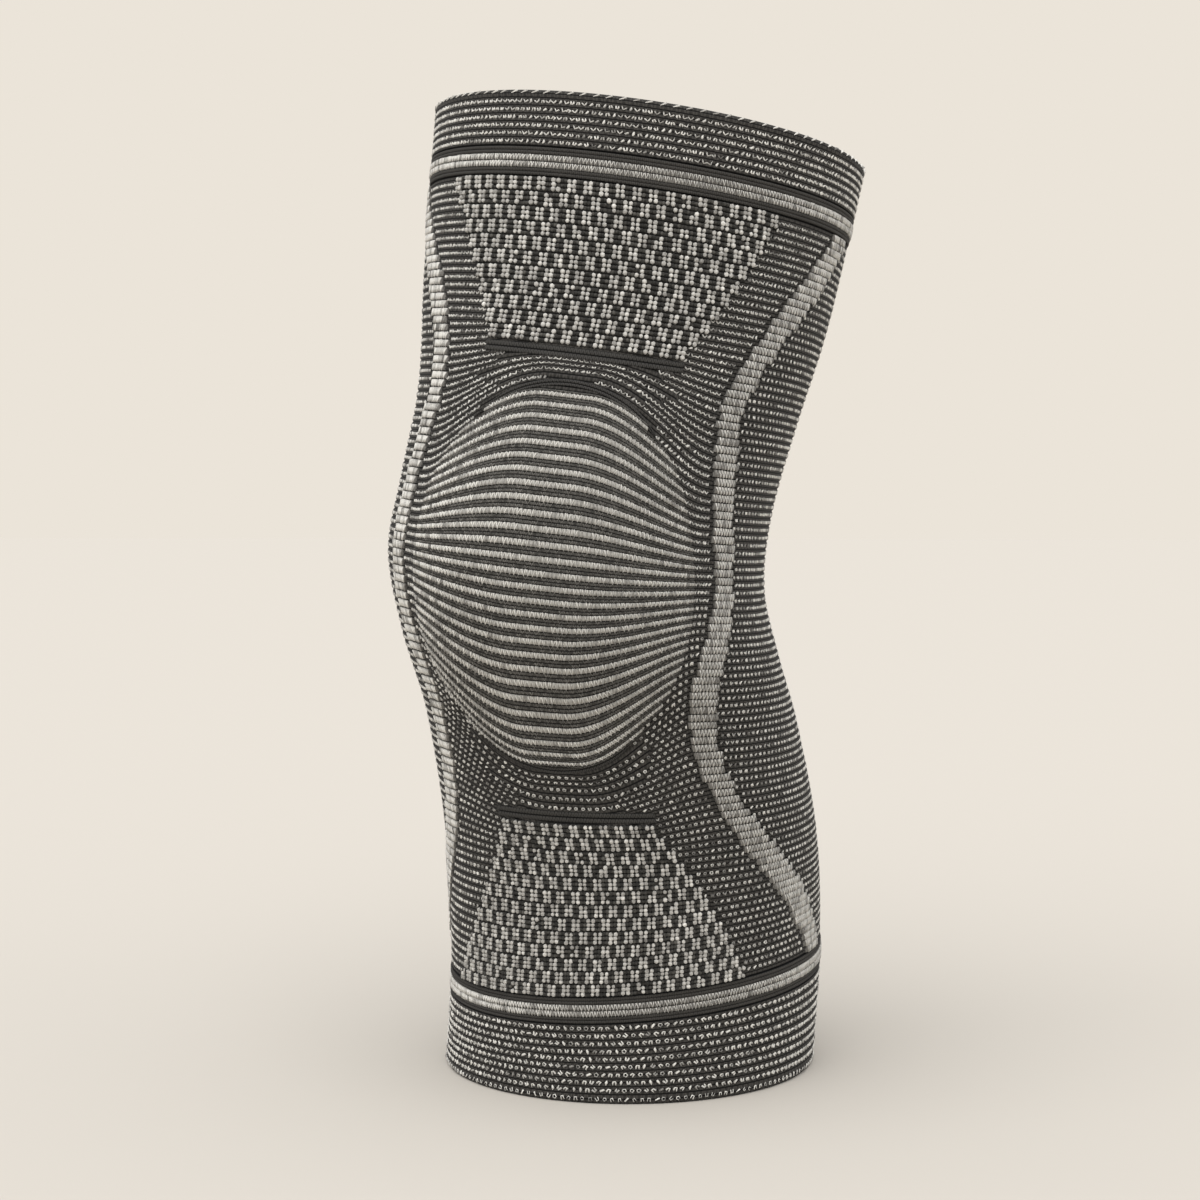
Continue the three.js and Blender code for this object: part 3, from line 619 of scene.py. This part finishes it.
# The open mesh knit, on the back and the front: two dark cords to a course with a row of pale loops between
meshKnit = {
    "profile": [(0.0, -0.6), (0.25, 0.0), (0.5, -0.35), (0.75, 0.0)],  # share of a course, mm out
    "rows": 4, "lift": 0, "wall": 2.6, "frontColumns": 76, "backColumns": 58,
    "under": 0.8, "tucked": -0.55,  # degrees under the stripes, and mm out under the zones at the front
    "cut": -1.2, "tuck": -0.4, "clear": 0.3, "weltClear": 0.2,  # how far the zones are grown for each, mm
    "zigzag": (1.5, 1.1, 0.34), "zigzagPitch": 0.72,  # width, height and rise of a stitch, mm
    "zigzagKinds": [0.7, 0.12, 0, 0, 0.18],  # shares of vee, cup, arch, eye and slant
    "back_knit": {"loop": (1.2, 1.15, 0.34), "kinds": [0.22, 0.26, 0.2, 0.1, 0.22]},
    "front_knit": {"loop": (1.35, 1.25, 0.36), "kinds": [0.1, 0.2, 0.16, 0.44, 0.1]},
    "loopsBelow": 0.52, "out": -0.25, "tone": 0.7, "uneven": 0.12, "turn": 0.45, "astray": 0.08,
    "fullGap": 2.27,  # mm between courses where a stitch has its full height
    "shortGap": 1.6, "shortRagged": 0.2,  # mm between courses; where they come closer, every second row ends
}
zones = {  # foot, head, width at the foot, width at the head
    "thighPanel": (215.5, 262.0, 55, 110), "thighWelt": (212.0, 215.2, 60, 60),
    "shinPanel": (35.0, 84.5, 102, 46), "shinWelt": (84.8, 88.0, 49, 49),
}
ovalWelts = {"inner": 0.3, "outer": 2.3, "upperReach": 38, "lowerReach": 32}
ovalRadius = {"zone": 46, "welt": 46.5}  # the kneecap's mean radius, mm
waleStep = 360 / sleeve["wales"]


def stripeSides(course):
    at = courseAt(90, course)
    return stripeEdge(at, -1), stripeEdge(at, 1)


def zoneWidth(name, height):  # half the width of a panel at a height, mm
    foot, head, footWidth, headWidth = zones[name]
    return (footWidth + (headWidth - footWidth) * np.clip((height - foot) / (head - foot), 0, 1)) / 2


def inZone(name, angle, at, grow):
    height = at * sleeve["height"]
    if name == "kneecap":
        return ovalShare(angle, at) < 1 + grow / ovalRadius["zone"]
    foot, head = zones[name][:2]
    return (height > foot - grow) & (height < head + grow) & (np.abs(angle) < angleOf(zoneWidth(name, height) + grow, at))


def inAnyZone(angle, at, grow):
    return np.any([inZone(name, angle, at, grow) for name in ("kneecap", *zones)], 0)


def inOvalWelt(angle, at, grow):
    out = (ovalShare(angle, at) - 1) * ovalRadius["welt"]
    up = (at * sleeve["height"] - sleeve["kneecapCentre"]) / (sleeve["kneecapHeight"] / 2)
    clock = np.degrees(np.arctan2(np.abs(angle) / angleOf(sleeve["kneecapWidth"] / 2, at), up))
    reached = (clock < ovalWelts["upperReach"] + grow) | (clock > 180 - ovalWelts["lowerReach"] - grow)
    return reached & (out > ovalWelts["inner"] - grow) & (out < ovalWelts["outer"] + grow)


shortGap = meshKnit["shortGap"] + random.uniform(-1, 1, sleeve["courses"] // 2 + 1) * meshKnit["shortRagged"]


def inFewRows(angle, course):  # where the courses run close above and below the dome
    pair = np.floor(course / 2).astype(int)
    return courseGap(angle, pair * 2.0 + 1) < shortGap[pair]


def roomAt(angle, course, few, least):  # the share of a stitch's full height that the course has room for
    return np.clip(courseGap(angle, course) * np.where(few, 2, 1) / meshKnit["fullGap"], least, 1)


def meshStitches(node, name, angle, course, low, seed):
    kind = np.where(low, random.choice(5, len(angle), p=meshKnit[node]["kinds"]),
        random.choice(5, len(angle), p=meshKnit["zigzagKinds"]))
    size = np.where(low[:, None], np.array(meshKnit[node]["loop"]), np.array(meshKnit["zigzag"]))
    room = roomAt(angle, course, inFewRows(angle, course), 0.35)
    size = size * np.stack([np.ones_like(room), room, np.sqrt(room)], -1)
    layStitches(node, name, courseAt, angle, course, meshKnit, loopSet, paleYarn, kind, size=size, seed=seed)


courseCount = sleeve["courses"]
courseList, reliefList = courseRows(0, courseCount, meshKnit["profile"])
middle = np.floor(np.minimum(courseList, courseCount - 0.01)) + 0.5  # each course's own stepped edge
innerEdge, outerEdge = stripeSides(middle)

share = np.linspace(0, 1, meshKnit["backColumns"] + 1)[None]
under = meshKnit["under"]
angle = (outerEdge[:, None] - under) * (1 - share) + (360 + under - outerEdge[:, None]) * share
makeWall("back_knit", meshKnit, angle, courseAt(90, courseList)[:, None], reliefList[:, None], courseList[:, None],
    meshFace)
rows = []
for course in range(1, courseCount):
    start = stripeSides(np.array([float(course)]))[1][0] + waleStep * (0.5 + course % 2 / 2)
    line = np.arange(start, 360 - start + waleStep * 0.3, waleStep)
    rows.append(np.stack([line + random.normal(0, meshKnit["astray"], len(line)), np.full(len(line), float(course))]))
line = np.concatenate(rows, 1)
meshStitches("back_knit", "back_knit_loops", line[0], line[1], np.full(line.shape[1], True), 3)

share = np.linspace(-1, 1, meshKnit["frontColumns"] + 1)[None]
angle = (innerEdge[:, None] + under) * share
at = courseAt(angle, courseList[:, None])
fine = meshKnit["rows"]
cellAngle = (angle[:-fine:fine, :-1] + angle[:-fine:fine, 1:]) / 2
cellAt = courseAt(cellAngle, np.arange(courseCount)[:, None] + 0.5)
covered = inAnyZone(cellAngle, cellAt, meshKnit["cut"])
tucked = inAnyZone(angle, at, meshKnit["tuck"]) | inOvalWelt(angle, at, meshKnit["tuck"])
few = inFewRows(angle, np.minimum(courseList, courseCount - 0.01)[:, None])
pairStart = np.floor(courseList / 2) * 2
slow = (courseList - pairStart) / 2  # one row where there were two
profile = meshKnit["profile"] + [(1.0, meshKnit["profile"][0][1])]
slowRelief = np.interp(slow, *np.array(profile).T)
relief = np.where(few, slowRelief[:, None], reliefList[:, None]) * roomAt(angle, courseList[:, None], few, 0.3)
relief = np.where(tucked, meshKnit["tucked"], relief)
course = np.where(few, (pairStart + slow)[:, None], courseList[:, None])
makeWall("front_knit", meshKnit, angle, at, relief, course, meshFace, ~covered)
rows = []
for course in range(1, courseCount):
    reach = stripeSides(np.array([float(course)]))[0][0] - waleStep * 0.5
    low = courseAt(90, float(course)) < meshKnit["loopsBelow"]
    step = waleStep * (1 if low else meshKnit["zigzagPitch"])
    line = np.arange(-reach + course % 2 * step / 2, reach, step)
    line += random.normal(0, meshKnit["astray"], len(line))
    at = courseAt(line, float(course))
    taken = inAnyZone(line, at, meshKnit["clear"]) | inOvalWelt(line, at, meshKnit["weltClear"])
    if course % 2:
        taken |= inFewRows(line, np.full(len(line), float(course)))
    line = line[~taken]
    rows.append(np.stack([line, np.full(len(line), float(course)), np.full(len(line), low)]))
line = np.concatenate(rows, 1)
meshStitches("front_knit", "front_knit_loops", line[0], line[1], line[2] > 0, 4)

# The two wavy stripes: one pale block to a course, with ragged ends
stripeKnit = {
    "profile": [(0.0, -0.4), (0.12, 0.0), (0.5, 0.18), (0.88, 0.0)], "rows": 4, "lift": 0.2, "wall": 2.9,
    "columns": 8, "ragged": 0.9,  # degrees that a block's end may stand out or in
    "stitch": (1.25, 1.8, 0.42), "pitch": 1.3, "tone": 0.8, "out": 0.25, "turn": 0.12, "uneven": 0.08,
}
courseList, reliefList = courseRows(0, courseCount, stripeKnit["profile"])
middle = np.floor(np.minimum(courseList, courseCount - 0.01)).astype(int)
innerEdge, outerEdge = stripeSides(middle + 0.5)
for node, sign in (("right_stripe", 1), ("left_stripe", -1)):
    if (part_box(node)[0][0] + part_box(node)[1][0]) * sign < 0:
        sign = -sign
    ragged = random.uniform(-1, 1, (2, courseCount))[:, middle] * stripeKnit["ragged"]
    ends = np.stack([innerEdge + ragged[0], outerEdge + ragged[1]], -1) * sign
    share = np.linspace(0, 1, stripeKnit["columns"] + 1)[None]
    share = share if sign > 0 else share[:, ::-1]
    angle = ends[:, :1] * (1 - share) + ends[:, 1:] * share
    makeWall(node, stripeKnit, angle, courseAt(90, courseList)[:, None], reliefList[:, None], courseList[:, None] + 0.5,
        blockFace)
    across, course = [], []
    for block in range(courseCount):
        low, high = np.sort(ends[block * stripeKnit["rows"] + 1])
        count = int((high - low) / 360 * sleeve["wales"] * sleeve["waleWidth"] / stripeKnit["pitch"])
        across.append(np.linspace(low, high, count + 2)[1:-1])
        course.append(np.full(count, block + 0.5))
    layStitches(node, node + "_stitches", lambda angle, course: courseAt(90, course),
        np.concatenate(across), np.concatenate(course), stripeKnit, strandSet, paleYarn, 0, seed=12 + sign)

# The kneecap: pale ribs on the same courses as the mesh, ending in a stepped oval
kneecapKnit = {
    "profile": [(0.0, -0.3), (0.14, 0.05), (0.26, -0.35), (0.36, 0.3), (0.5, 0.42), (0.64, 0.3), (0.74, -0.35),
        (0.86, 0.05)],
    "rows": 8, "lift": 0.4, "wall": 3.4, "columns": 56, "pitch": 1.2,
    "beyond": 1.6,  # degrees that a rib runs past the oval
    "stitch": (1.15, 0.43, 0.45), "out": 0.62, "turn": 0.12, "uneven": 0.1,  # the height is a share of the course
    "tone": 0.82, "toneSpread": 0.32, "cordSides": (-0.37, 0.37),
    "cord": {"stitch": (1.1, 0.2, 0.25), "out": 0.35, "turn": 0.15, "uneven": 0.1, "tone": 0.5},
}
ribs = [course for course in range(courseCount) if ovalShare(0.0, courseAt(0.0, course)) < 0.985]
courseList, reliefList = courseRows(ribs[0] - 0.5, ribs[-1] + 0.5, kneecapKnit["profile"])
middle = np.round(np.clip(courseList, ribs[0] - 0.49, ribs[-1] + 0.49))
low, high = np.zeros(len(courseList)), np.full(len(courseList), 60.0)
for step in range(24):  # where each rib leaves the oval
    half = (low + high) / 2
    inside = ovalShare(half, courseAt(half, middle)) < 1
    low, high = np.where(inside, half, low), np.where(inside, high, half)
angle = (half[:, None] + kneecapKnit["beyond"]) * np.linspace(-1, 1, kneecapKnit["columns"] + 1)[None]
makeWall("kneecap_panel", kneecapKnit, angle, courseAt(angle, courseList[:, None]), reliefList[:, None],
    courseList[:, None], ribFace)
across, course, cordAcross, cordCourse = [], [], [], []
for rib, reach in zip(ribs, half[kneecapKnit["rows"] // 2::kneecapKnit["rows"]]):
    step = kneecapKnit["pitch"] / sleeve["waleWidth"] * waleStep
    line = np.arange(-reach + 0.5, reach - 0.4, step) + random.normal(0, 0.06)
    across.append(line)
    course.append(np.full(len(line), float(rib)))
    for side in kneecapKnit["cordSides"]:
        cordAcross.append(line + waleStep / 4)
        cordCourse.append(np.full(len(line), rib + side))
for name, line, rows, dims, yarn in (
        ("kneecap_panel_ribs", across, course, kneecapKnit, paleYarn),
        ("kneecap_panel_cords", cordAcross, cordCourse, kneecapKnit["cord"], midYarn)):
    line, rows = np.concatenate(line), np.concatenate(rows)
    width, height, rise = dims["stitch"]
    gap = courseGap(line, rows)
    size = np.stack([np.full_like(gap, width), height * gap, np.full_like(gap, rise)], -1)
    tone = np.clip(random.normal(dims["tone"], kneecapKnit["toneSpread"], len(line)), 0, 1)
    layStitches("kneecap_panel", name, courseAt, line, rows, dims, strandSet, yarn, 0, tone, size, seed=40)
print("ribs", len(ribs))


def ringHeight(dims):  # height share of a place on a cuff or band, counted in its own courses
    places, heights = np.array(dims["heights"]).T
    return lambda angle, course: np.interp(np.asarray(course, float), places, heights) / sleeve["height"] + 0 * angle


def makeRing(node, dims, face):
    first, last = dims["heights"][0][0], dims["heights"][-1][0]
    courseList, reliefList = courseRows(first, last, dims["profile"])
    for place, depth in dims["rim"]:
        reliefList = np.where(np.abs(courseList - place) < 0.01, depth, reliefList)
    angle = np.broadcast_to(np.linspace(0, 360, dims["columns"] + 1)[None], (len(courseList), dims["columns"] + 1))
    at = ringHeight(dims)(angle, courseList[:, None])
    makeWall(node, dims, angle, at, reliefList[:, None], courseList[:, None], face, wrap=True)


def ringStitches(node, name, dims, courses, step, shapes, kinds, seed):
    count = round(sleeve["wales"] / step)
    course, column = np.meshgrid(np.array(courses, float), np.arange(count), indexing="ij")
    angle = (column + course % 2 / 2) * 360 / count + random.normal(0, 0.1, course.shape)
    kind = random.choice(kinds, course.size)
    layStitches(node, name, ringHeight(dims), angle.ravel(), course.ravel(), dims, shapes, paleYarn, kind,
        seed=seed)


# Calf cuff: ten rows of loops, the lowest on its rolled rim; thigh cuff: six rows of loops and a bound rim
calfCuff = {
    "heights": [(-1.5, 0.0), (-0.5, 3.2), (8.5, 26.2)],  # course, mm up
    "profile": [(0.0, -0.28), (0.25, 0.0), (0.5, -0.45), (0.75, 0.0)],
    "rim": [(-1.5, -0.9), (-1.25, -0.15), (-1.0, 0.0), (-0.75, -0.1)],  # course, mm out
    "rows": 4, "lift": 0.2, "wall": 3.0, "columns": 160,
    "stitch": (1.7, 1.45, 0.55), "out": -0.1, "turn": 1.0, "tone": 0.85,
}
thighCuff = calfCuff | {
    "heights": [(-0.5, 270.8), (6.5, 287.0)], "rim": [(6.0, 0.0), (6.25, -0.2), (6.5, -0.9)],
    "stitch": (1.7, 1.25, 0.5), "turn": 0.45, "tone": 0.8,
}
rimDash = thighCuff | {"stitch": (1.9, 1.5, 0.6), "turn": 0.1}
makeRing("calf_cuff", calfCuff, meshFace)
ringStitches("calf_cuff", "calf_cuff_loops", calfCuff, range(-1, 9), 1.05, loopSet, [1, 2, 2, 3, 4], 5)
makeRing("thigh_cuff", thighCuff, meshFace)
ringStitches("thigh_cuff", "thigh_cuff_loops", thighCuff, range(6), 0.8, loopSet, [0, 0, 1, 2, 4], 6)
ringStitches("thigh_cuff", "thigh_cuff_rim_dashes", rimDash, [6.2], 1.6, strandSet, [1], 7)

# The narrow bands: two dark cords, two pale zigzag courses, two dark cords
bandShares = [0, 0.13, 0.26, 0.5, 0.74, 0.87, 1]
band = {
    "profile": [(0.0, -0.35), (0.2, 0.0), (0.5, 0.12), (0.8, 0.0)], "rim": [],
    "rows": 4, "lift": 0.2, "wall": 2.9, "columns": 160,
    "stitch": (1.05, 1.5, 0.4), "out": 0.2, "turn": 0.06, "tone": 0.9,
}
for node, foot, head, seed in (("calf_band", 26.5, 34.7, 8), ("thigh_band", 262.3, 270.5, 9)):
    dims = band | {"heights": [(k - 0.5, foot + (head - foot) * s) for k, s in enumerate(bandShares)]}
    makeRing(node, dims, bandFace)
    ringStitches(node, node + "_zigzag", dims, [2, 3], 0.5, strandSet, [0], seed)

# The two patterned panels: beads of pale yarn in clusters, set like bricks on dark beaded cords
clusterPitch = 4.7  # mm from cluster to cluster that the beads' places are given for
clusterBeads = [(-0.78, 0.9), (0.78, 0.9), (-0.66, 0), (0.66, 0), (-0.78, -0.9), (0.78, -0.9)]  # mm along, cords up
thighPanel = {
    "zone": "thighPanel", "cords": 33, "pitch": 4.7,
    "profile": [(0.0, -0.45), (0.25, -0.05), (0.5, 0.05), (0.75, -0.05)],
    "rows": 4, "lift": 0.3, "wall": 2.9, "columns": 48, "out": 0.2, "uneven": 0.12, "turn": 0.3,
    "stitch": (1.42, 1.5, 0.7), "greyStitch": (1.3, 1.25, 0.45),
    "tone": 0.46, "greyTone": 0.12, "toneSpread": 0.13,
    "drift": 0.12, "missed": 0.03,  # how far a cluster strays, and the share of its beads that are missing
    "cordHeight": 1.4,  # mm
}
shinPanel = thighPanel | {"zone": "shinPanel", "cords": 39, "pitch": 4.4, "stitch": (1.32, 1.4, 0.65)}
for node, dims, seed in (("thigh_panel", thighPanel, 20), ("shin_panel", shinPanel, 30)):
    foot, head = zones[dims["zone"]][:2]
    place = lambda angle, course: (
        foot + (head - foot) * np.asarray(course, float) / dims["cords"]) / sleeve["height"] + 0 * angle
    courseList, reliefList = courseRows(0, dims["cords"], dims["profile"])
    clusterRow = np.floor(np.minimum(courseList, dims["cords"] - 0.01) / 3)
    rowHeight = foot + (head - foot) * (clusterRow * 3 + 1.5) / dims["cords"]
    half = angleOf(zoneWidth(dims["zone"], rowHeight), rowHeight / sleeve["height"])
    angle = half[:, None] * np.linspace(-1, 1, dims["columns"] + 1)[None]
    makeWall(node, dims, angle, place(angle, courseList[:, None]), reliefList[:, None], courseList[:, None] + 0.5,
        beadedFace)
    pale, grey = [], []
    for row in range(dims["cords"] // 3):
        height = foot + (head - foot) * (row * 3 + 1.5) / dims["cords"]
        width = zoneWidth(dims["zone"], height)
        count = int((width - 0.2) // (dims["pitch"] / 2))
        for k in range(-count, count + 1):
            centre = k * dims["pitch"] / 2
            drift = random.normal(0, dims["drift"], 2)
            if (k + row) % 2 == 0:
                pale += [(centre + x * dims["pitch"] / clusterPitch + drift[0], row * 3 + 1.5 + y + drift[1] * 0.5,
                    math.atan2(y * dims["cordHeight"], x) - math.pi / 2)
                    for x, y in clusterBeads if random.random() > dims["missed"]]
            else:
                grey += [(centre + x, row * 3 + 1.5 + y, 0) for y in (-1, 0, 1) for x in (-0.5, 0.5)]
    for name, beads, kinds, yarn, stitch, level in (
            ("_clusters", pale, [0, 1], paleYarn, dims["stitch"], dims["tone"]),
            ("_dark_beads", grey, [0], greyYarn, dims["greyStitch"], dims["greyTone"])):
        across, course, spin = np.array(beads).T
        angle = angleOf(across, place(0, course))
        tone = np.clip(random.normal(level, dims["toneSpread"], len(angle)), 0, 1)
        kind = random.choice(kinds, len(angle))
        layStitches(node, node + name, place, angle, course, dims, beadSet, yarn, kind, tone,
            size=stitch, spin=spin, seed=seed + len(name))

# The welts: two dark cords side by side, straight over the panels and curved round the kneecap's oval
weltKnit = {
    "profile": [(0.0, -0.4), (0.25, 0.0), (0.5, 0.12), (0.75, 0.0)], "cords": 2,
    "rows": 4, "lift": 0.15, "wall": 2.9, "columns": 40,
}
courseList, reliefList = courseRows(0, weltKnit["cords"], weltKnit["profile"])
along = np.linspace(-1, 1, weltKnit["columns"] + 1)[None]
up = courseList[:, None] / weltKnit["cords"]
for node, zone in (("thigh_welt", "thighWelt"), ("shin_welt", "shinWelt")):
    foot, head, width = zones[zone][:3]
    at = (foot + (head - foot) * up) / sleeve["height"]
    makeWall(node, weltKnit, angleOf(width / 2, at) * along, at, reliefList[:, None], courseList[:, None] + 0.5,
        cordFace)
for node, middle, reach in (
        ("kneecap_upper_welt", 0, ovalWelts["upperReach"]), ("kneecap_lower_welt", 180, ovalWelts["lowerReach"])):
    clock = np.radians(middle + reach * along)
    clock = clock if middle == 0 else clock[:, ::-1]
    taper = np.sqrt(1.03 - np.abs(along) ** 3)  # narrower towards both ends
    out = ovalWelts["inner"] + (ovalWelts["outer"] - ovalWelts["inner"]) * up * taper
    out = out if middle == 0 else out[::-1]
    at = (sleeve["kneecapCentre"] + (sleeve["kneecapHeight"] / 2 + out) * np.cos(clock)) / sleeve["height"]
    angle = angleOf((sleeve["kneecapWidth"] / 2 + out) * np.sin(clock), at)
    makeWall(node, weltKnit, angle, at, reliefList[:, None], courseList[:, None] + 0.5, cordFace)

carried = {  # bands, stripes and welts narrower than 10 mm, each listed under the wider knit it is knitted on to, as a hem is; the loop below only reads each wider knit's flat size
    "back_knit": ["right_stripe", "left_stripe"], "calf_cuff": ["calf_band"], "thigh_cuff": ["thigh_band"],
    "front_knit": ["thigh_welt", "shin_welt", "kneecap_upper_welt", "kneecap_lower_welt"],
    "kneecap_panel": [], "thigh_panel": [], "shin_panel": [],
}
for node, others in carried.items():
    width, length, area = (float(x) for x in pieces[node]["size"])
print("pieces:", sum(1 + len(made["with"]) for made in pieces.values()))

# Camera at the photograph's angle, floor, and soft light from the upper left
shot = {"place": (229.3, -630.0, 164.6), "down": 1.844, "round": 20.795, "lens": 64.5}
camera = addPiece("camera", bpy.data.cameras.new("camera"))
camera.location = np.array(shot["place"]) / 1000 + originShift
camera.rotation_euler = (math.radians(90 - shot["down"]), 0, math.radians(shot["round"]))
camera.data.lens = shot["lens"]
camera.data.sensor_width = 36
bpy.context.scene.camera = camera

studio = {"floor": "#ccc6bd", "backdrop": "#ebe4d9", "ambient": 0.98, "key": 1.4, "fill": 0.2, "softness": 70}
floorMesh = bpy.data.meshes.new("floor")
floorMesh.from_pydata([(-40, -40, 0), (40, -40, 0), (40, 40, 0), (-40, 40, 0)], [], [(0, 1, 2, 3)])
floor = addPiece("floor", floorMesh)
paper = bpy.data.materials.new("mattPaperFloor")
paper.use_nodes = True
sockets = paper.node_tree.nodes["Principled BSDF"].inputs
sockets["Base Color"].default_value = linear(studio["floor"])
sockets["Roughness"].default_value = 1
sockets["Specular IOR Level"].default_value = 0
floorMesh.materials.append(paper)

world = bpy.data.worlds.new("studio")
bpy.context.scene.world = world
world.use_nodes = True
tree = world.node_tree
tree.nodes.clear()
seen = addNode(tree, "ShaderNodeLightPath").outputs["Is Camera Ray"]
ambient = addNode(tree, "ShaderNodeBackground", None, {0: (1, 1, 1, 1), 1: studio["ambient"]})
backdrop = addNode(tree, "ShaderNodeBackground", None, {0: linear(studio["backdrop"]), 1: 1.0})
both = addNode(tree, "ShaderNodeMixShader", None, {0: seen, 1: ambient, 2: backdrop})
addNode(tree, "ShaderNodeOutputWorld", None, {0: both})
for name, power, turn in (("key", studio["key"], (34, 0, -4)), ("fill", studio["fill"], (60, 0, 55))):
    lamp = bpy.data.lights.new(name, "SUN")
    lamp.energy = power
    lamp.angle = math.radians(studio["softness"])
    light = addPiece(name, lamp)
    light.rotation_euler = [math.radians(v) for v in turn]
bpy.context.scene.view_settings.view_transform = "Standard"
print("studio made")
